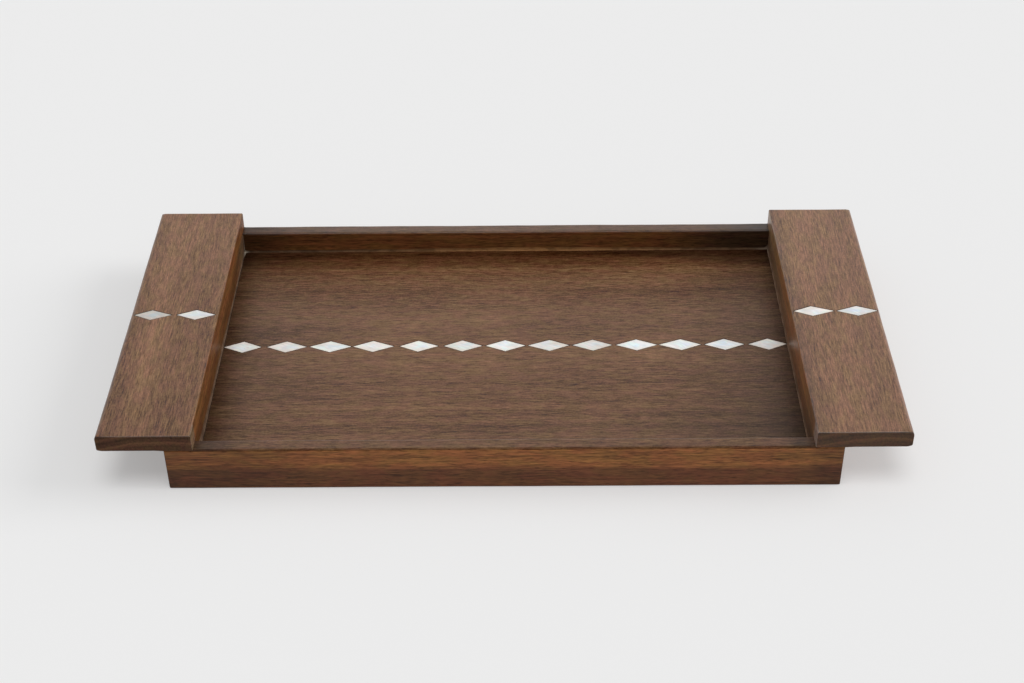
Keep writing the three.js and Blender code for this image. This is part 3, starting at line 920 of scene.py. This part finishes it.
class MakeHandles(bpy.types.Operator):
    """Makes the two handle boards, with crisp seats on the rails and pockets for their diamonds"""
    bl_idname = "tray.make_handles"
    bl_label = "Make the handles"

    def execute(self, context):
        sizes = context.scene.tray_sizes
        ease, grip, under = sizes.handle_ease, sizes.grip_ease, sizes.under_ease
        seat_fade, grip_fade, low_grip = 6 * MM, 3 * MM, 0.7 * grip
        for side, sign in SIDES.items():
            node, far = f"{side}_handle", (sign + 1) // 2
            outer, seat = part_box(node)[far][0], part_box(f"{side}_end_rail")[far][0]

            def at_grip(x):
                """1 at the outer edge, and 0 away from it."""
                return np.clip(1 - np.abs(x - outer) / grip_fade, 0, 1)

            def low_edge(x, y):
                """None over the seat, the ends' own beyond it, and the grip's at the outer edge."""
                past = np.clip((x - seat) * sign / seat_fade, 0, 1)
                return past * (under + (low_grip - under) * at_grip(x))

            def top_edge(x, y):
                """The board's ease, and the grip's own at the outer edge."""
                return ease + (grip - ease) * at_grip(x)

            piece = add_board(node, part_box(node), (sizes.corner_ease,) * 4, low_edge, top_edge,
                              "walnut_handle", step=1 * MM)
            shape_with(piece, [*pockets(f"{node}_inlay"), *dowel_holes(side)])
        return {"FINISHED"}


class LayPearls(bpy.types.Operator):
    """Lays the seventeen pearl diamonds and the dark glue round them"""
    bl_idname = "tray.lay_pearls"
    bl_label = "Lay the pearl diamonds"

    def execute(self, context):
        pearl, glue = nacre(), dark_glue()
        for stem in DIAMONDS:
            lay_inlay(stem, pearl, glue)
        return {"FINISHED"}


class RunBead(bpy.types.Operator):
    """Runs the thin bead of dried glue and finish in the angle between the floor and the rails"""
    bl_idname = "tray.run_bead"
    bl_label = "Run the bead"

    def execute(self, context):
        sizes = context.scene.tray_sizes
        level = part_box("floor_panel")[1][2]
        low, high = well()

        def gathered(x, y):
            """1 in the back left corner, where most of it has run together, some in the back right
            one, and 0 away from both."""
            left = np.hypot(x - low[0], 0.6 * (y - high[1]))
            right = np.hypot(x - high[0], y - high[1])
            return near(left, 2.1 * MM) + 0.25 * near(right, 9 * MM)

        def middle(x):
            """1 about the middle of the back, falling to nearly 0 at its ends."""
            return near(x - 20 * MM, 100 * MM)

        def climb(x, y):
            """How high the bead stands: most along the left rail, and there most at the front, and
            more in the middle of the back than at its ends."""
            left, right, back = near(x - low[0], MM), near(x - high[0], MM), near(y - high[1], MM)
            front = np.clip((high[1] - y) / (high[1] - low[1]), 0, 1)
            tall = (1 + left * (0.1 + 2.9 * front + 1.8 * near(y - low[1], 14 * MM)) + right * 1.3
                    + middle(x) * back)
            return sizes.bead * tall * wander(3 * x, 3 * y, 0.15)

        outline = rounded_outline(low, high, (0, 0, 0, 0), 2 * MM, arc_steps=1)
        x, y = outline(0.0).T
        narrow = 1 - 0.5 * near(x - high[0], MM)
        foot = 0.55 * sizes.bead * narrow * (wander(3 * x, 3 * y, 0.22) + 0.8 * gathered(x, y))
        clear = 0.01 * MM
        turn, none = np.linspace(0, np.pi / 2, 8)[:, None], np.zeros((1, len(x)))
        draw_in = np.concatenate([foot * (1 - np.sin(turn)), none]) + clear
        height = np.concatenate([climb(x, y) * (1 - np.cos(turn)), none]) + clear + level
        shapes = [skin(stacked(outline, draw_in, height), caps=False, closed_rings=True)]
        # A thin thread of it runs up the back left corner
        thread = rounded_outline(
            (low[0] + clear, high[1] - 0.6 * MM), (low[0] + 0.6 * MM, high[1] - clear),
            (0, 0.55 * MM, 0, 0), 1.0, arc_steps=4)
        rise = np.linspace(level + 0.2 * MM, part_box("back_rail")[1][2] - 1.2 * MM, 12)[:, None]
        shapes.append(skin(stacked(thread, 0.06 * MM * (1 + np.sin(700 * rise)), rise)))
        piece = add_piece("floor_bead", shapes, dried_bead(), "walnut_floor")
        x, y, z = points_of(piece).T
        mark(piece, "fraction", (z - level) / climb(x, y))
        mark(piece, "full", gathered(x, y) * np.exp(-(z - level) / (5 * MM)))
        # Painted shade in the crease along the left rail
        mark(piece, "foot", near(x - low[0], 3 * MM))
        # Along the back it has drawn in amber about the middle, and it is darker towards the ends:
        # painted shade towards the corners. By the right rail it is lighter: painted light that
        # makes up for the shade there
        amber = np.outer(middle(x), (1.0, 0.6, -0.05))
        shade_at_ends = np.outer(1 - middle(x), (0.42, 0.45, 0.5))
        back = near(y - high[1], 2 * MM) * (1 - near(x - low[0], 1.5 * MM))
        # Painted light: lighter by the right rail, which lies in shade
        right = np.outer(near(x - high[0], 2 * MM), (0.8, 0.85, 0.9))
        mark(piece, "stain", 1 + back[:, None] * (amber - shade_at_ends) + right)
        return {"FINISHED"}


class DressDowels(bpy.types.Operator):
    """Gives the hidden dowels their bare beech"""
    bl_idname = "tray.dress_dowels"
    bl_label = "Dress the dowels"

    def execute(self, context):
        beech = bare_beech()
        for name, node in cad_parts.items():
            if "_dowel_" in name:
                node.data.materials.clear()
                node.data.materials.append(beech)
        return {"FINISHED"}


class SetStage(bpy.types.Operator):
    """Sets the pale floor, the soft studio light and the camera"""
    bl_idname = "tray.set_stage"
    bl_label = "Set the stage"

    def execute(self, context):
        stage = context.scene.tray_stage
        self.lay_floor(stage)
        self.light(stage)
        self.stand_camera(context.scene, stage)
        context.scene.view_settings.view_transform = "Standard"
        return {"FINISHED"}

    def lay_floor(self, stage):
        """A square floor: a grid of two parameters, level at zero."""
        side = np.linspace(-stage.floor_reach, stage.floor_reach, 5)
        points = np.stack([*np.meshgrid(side, side), np.zeros((5, 5))], -1)
        index = np.arange(25).reshape(5, 5)
        quads = np.stack([index[:-1, :-1], index[:-1, 1:], index[1:, 1:], index[1:, :-1]], -1)
        mesh = bpy.data.meshes.new("pale_floor")
        mesh.from_pydata(points.reshape(-1, 3).tolist(), [], quads.reshape(-1, 4).tolist())
        floor = put("pale_floor", mesh)
        graph = new_graph("pale_paper")
        _, seen = self.watching_rays(graph)
        share, glow = stage.paper_glow
        paper = graph.node("ShaderNodeBsdfDiffuse", {}, {"Color": shade("backdrop")})
        glow = graph.node("ShaderNodeEmission", {}, {"Color": shade("backdrop"), "Strength": glow})
        graph.finish(graph.node("ShaderNodeMixShader", {}, {0: seen * share, 1: paper, 2: glow}))
        mesh.materials.append(graph.owner)

    def watching_rays(self, graph):
        """1 for what the camera sees by itself, and for that with what gloss and glass show."""
        path = graph.node("ShaderNodeLightPath")
        camera, gloss, glass = (
            path.out(f"Is {ray} Ray") for ray in ("Camera", "Glossy", "Transmission"))
        return camera, camera.maximum(gloss).maximum(glass)

    def light(self, stage):
        """A white dome, which the camera sees as the backdrop, and wide soft lamps."""
        world = bpy.data.worlds.new("studio")
        bpy.context.scene.world = world
        graph = Graph(world)
        camera, seen = self.watching_rays(graph)
        kind = "ShaderNodeBackground"
        dome = graph.node(kind, {}, {"Color": (1, 1, 1), "Strength": stage.dome})
        *_, rise = graph.parts(graph.node("ShaderNodeTexCoord").out("Generated"))
        reflected = 0.2 - graph.ramp(rise, 0.48, 0.78) * 0.5
        shown = graph.node(kind, {}, {
            "Color": shade("backdrop"), "Strength": 1.0 + reflected * (1.0 - camera)})
        mixed = graph.node("ShaderNodeMixShader", {}, {0: seen, 1: dome, 2: shown})
        graph.finish(mixed, "ShaderNodeOutputWorld")
        spread = 35
        for name, azimuth, height, share in (
            ("right_window", 80, 28, stage.window), ("overhead_softbox", 180, 78, stage.softbox),
        ):
            azimuth, height = math.radians(azimuth), math.radians(height)
            lamp = bpy.data.lights.new(name, "SUN")
            lamp.energy = share * math.pi / math.sin(height)
            lamp.angle = math.radians(spread)
            holder = put(name, lamp)
            source = heading(azimuth, height)
            holder.rotation_euler = source.to_track_quat("Z", "Y").to_euler()
            holder.location = source * 2

    def stand_camera(self, scene, stage):
        """The camera looks along a heading turned by yaw and pitched down, then leans by roll."""
        lens = bpy.data.cameras.new("photographers_camera")
        lens.lens, lens.sensor_width, lens.clip_end = stage.lens, 36, 100
        camera = put("photographers_camera", lens)
        ahead = heading(stage.yaw, -stage.pitch)
        right = Vector((math.cos(stage.yaw), -math.sin(stage.yaw), 0))
        down = ahead.cross(right)
        lean_right = math.cos(stage.roll) * right + math.sin(stage.roll) * down
        lean_down = math.cos(stage.roll) * down - math.sin(stage.roll) * right
        turn = Matrix((lean_right, -lean_down, -ahead)).transposed().to_4x4()
        camera.matrix_world = Matrix.Translation(stage.camera_place) @ turn
        scene.camera = camera


class TrayPanel(bpy.types.Panel):
    """Lists the steps that make the tray, and its sizes and colours"""
    bl_idname = "VIEW3D_PT_walnut_tray"
    bl_label = "Walnut tray"
    bl_space_type = "VIEW_3D"
    bl_region_type = "UI"
    bl_category = "Tray"

    def draw(self, context):
        for step in STEPS:
            self.layout.operator(step.bl_idname)
        for name, group in GROUPS.items():
            box = self.layout.box()
            for setting in group.__annotations__:
                box.prop(getattr(context.scene, name), setting)


GROUPS = {"tray_sizes": TraySizes, "tray_colours": TrayColours, "tray_stage": TrayStage}
STEPS = (SetStage, MakeRails, MakeFloor, MakeHandles, LayPearls, RunBead, DressDowels)


def register():
    for name, group in GROUPS.items():
        bpy.utils.register_class(group)
        setattr(bpy.types.Scene, name, bpy.props.PointerProperty(type=group))
    for step in (*STEPS, TrayPanel):
        bpy.utils.register_class(step)


def unregister():
    for step in reversed((*STEPS, TrayPanel)):
        bpy.utils.unregister_class(step)
    for name, group in GROUPS.items():
        delattr(bpy.types.Scene, name)
        bpy.utils.unregister_class(group)


def main():
    register()
    for step in STEPS:
        family, name = step.bl_idname.split(".")
        getattr(getattr(bpy.ops, family), name)()


if __name__ == "__main__":
    main()
